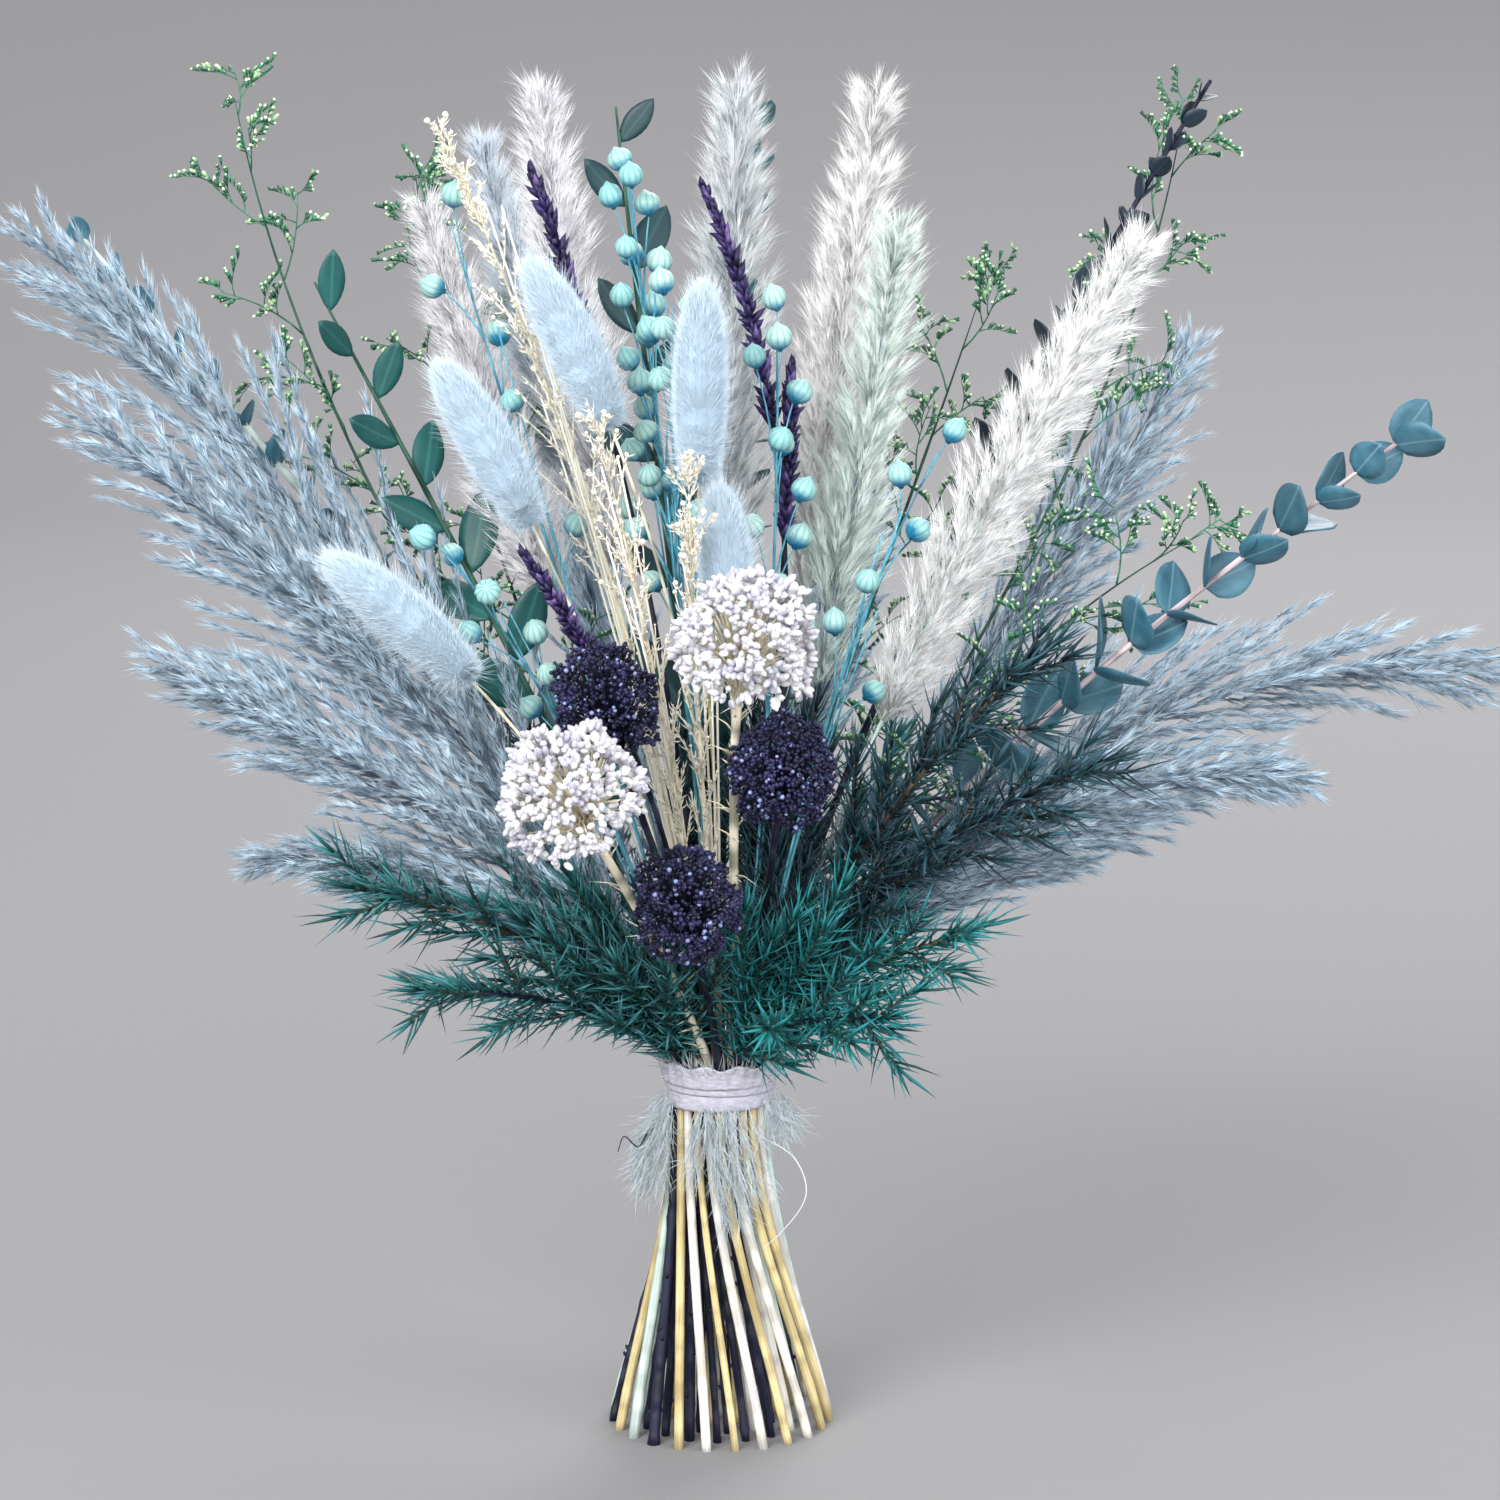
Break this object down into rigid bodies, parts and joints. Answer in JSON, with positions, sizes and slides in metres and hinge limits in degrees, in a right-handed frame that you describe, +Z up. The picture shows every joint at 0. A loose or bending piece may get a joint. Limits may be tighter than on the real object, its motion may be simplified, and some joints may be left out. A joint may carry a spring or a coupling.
{
  "type": "bundle of pampas grass",
  "caption": "Hand-tied dried bouquet of pampas plumes, soft seed heads, pods, buds and dyed foliage, fanned out above a taped waist and standing on its splayed cut stems.",
  "frame": {"origin": "on the surface the bouquet stands on, under the middle of its overall box", "axes": "+Z up along the tied stems, +X to the right across the fan as the bouquet is seen from its front, -Y towards its front"},
  "size_m": [0.438, 0.2248, 0.4092],
  "materials": {
    "plume_blue": "dry grey-blue dyed plume hair, matt and translucent",
    "plume_white": "bleached white to mint plume hair, matt and translucent",
    "tail_blue": "pale blue dyed seed-head fluff",
    "pods_aqua": "aqua painted ribbed seed pods on thin blue stems",
    "spike_violet": "dark violet dyed flower spikes",
    "flower_navy": "near-black navy dyed fine flower heads",
    "flower_white": "white dyed buds on cream twigs",
    "spray_cream": "bleached cream twigs with tiny buds",
    "needles_teal": "dark teal dyed narrow leaves, slightly waxy",
    "leaves_blue_green": "blue-green preserved round leaves on pale pink stems",
    "florets_green": "dark green twigs with pale yellow-green florets",
    "leaves_green": "dark green oval leaves, waxy",
    "tape_pearl": "pearly white floral tape, satin"
  },
  "bodies": {
    "root": {"pampas_plume_1": "plume_blue", "pampas_plume_2": "plume_blue", "pampas_plume_3": "plume_blue", "pampas_plume_4": "plume_blue", "pampas_plume_5": "plume_blue", "pampas_plume_6": "plume_blue", "pampas_plume_7": "plume_blue", "pampas_plume_8": "plume_blue", "pampas_plume_9": "plume_blue", "pampas_plume_10": "plume_blue", "reed_plume_1": "plume_white", "reed_plume_2": "plume_white", "reed_plume_3": "plume_white", "reed_plume_4": "plume_white", "reed_plume_5": "plume_white", "reed_plume_6": "plume_white", "reed_plume_7": "plume_white", "bunny_tail_1": "tail_blue", "bunny_tail_2": "tail_blue", "bunny_tail_3": "tail_blue", "bunny_tail_4": "tail_blue", "bunny_tail_5": "tail_blue", "flax_1": "pods_aqua", "flax_2": "pods_aqua", "flax_3": "pods_aqua", "flax_4": "pods_aqua", "flax_5": "pods_aqua", "flax_6": "pods_aqua", "lavender_1": "spike_violet", "lavender_2": "spike_violet", "lavender_3": "spike_violet", "lavender_4": "spike_violet", "navy_cluster_1": "flower_navy", "navy_cluster_2": "flower_navy", "navy_cluster_3": "flower_navy", "rice_flower_1": "flower_white", "rice_flower_2": "flower_white", "bleached_spray_1": "spray_cream", "bleached_spray_2": "spray_cream", "bleached_spray_3": "spray_cream", "needle_foliage_1": "needles_teal", "needle_foliage_2": "needles_teal", "needle_foliage_3": "needles_teal", "needle_foliage_4": "needles_teal", "needle_foliage_5": "needles_teal", "needle_foliage_6": "needles_teal", "needle_foliage_7": "needles_teal", "needle_foliage_8": "needles_teal", "eucalyptus_1": "leaves_blue_green", "eucalyptus_2": "leaves_blue_green", "eucalyptus_3": "leaves_blue_green", "eucalyptus_4": "leaves_blue_green", "sea_lavender_1": "florets_green", "sea_lavender_2": "florets_green", "sea_lavender_3": "florets_green", "sea_lavender_4": "florets_green", "sea_lavender_5": "florets_green", "ruscus_1": "leaves_green", "ruscus_2": "leaves_green", "tie": "tape_pearl"}
  },
  "joints": []
}
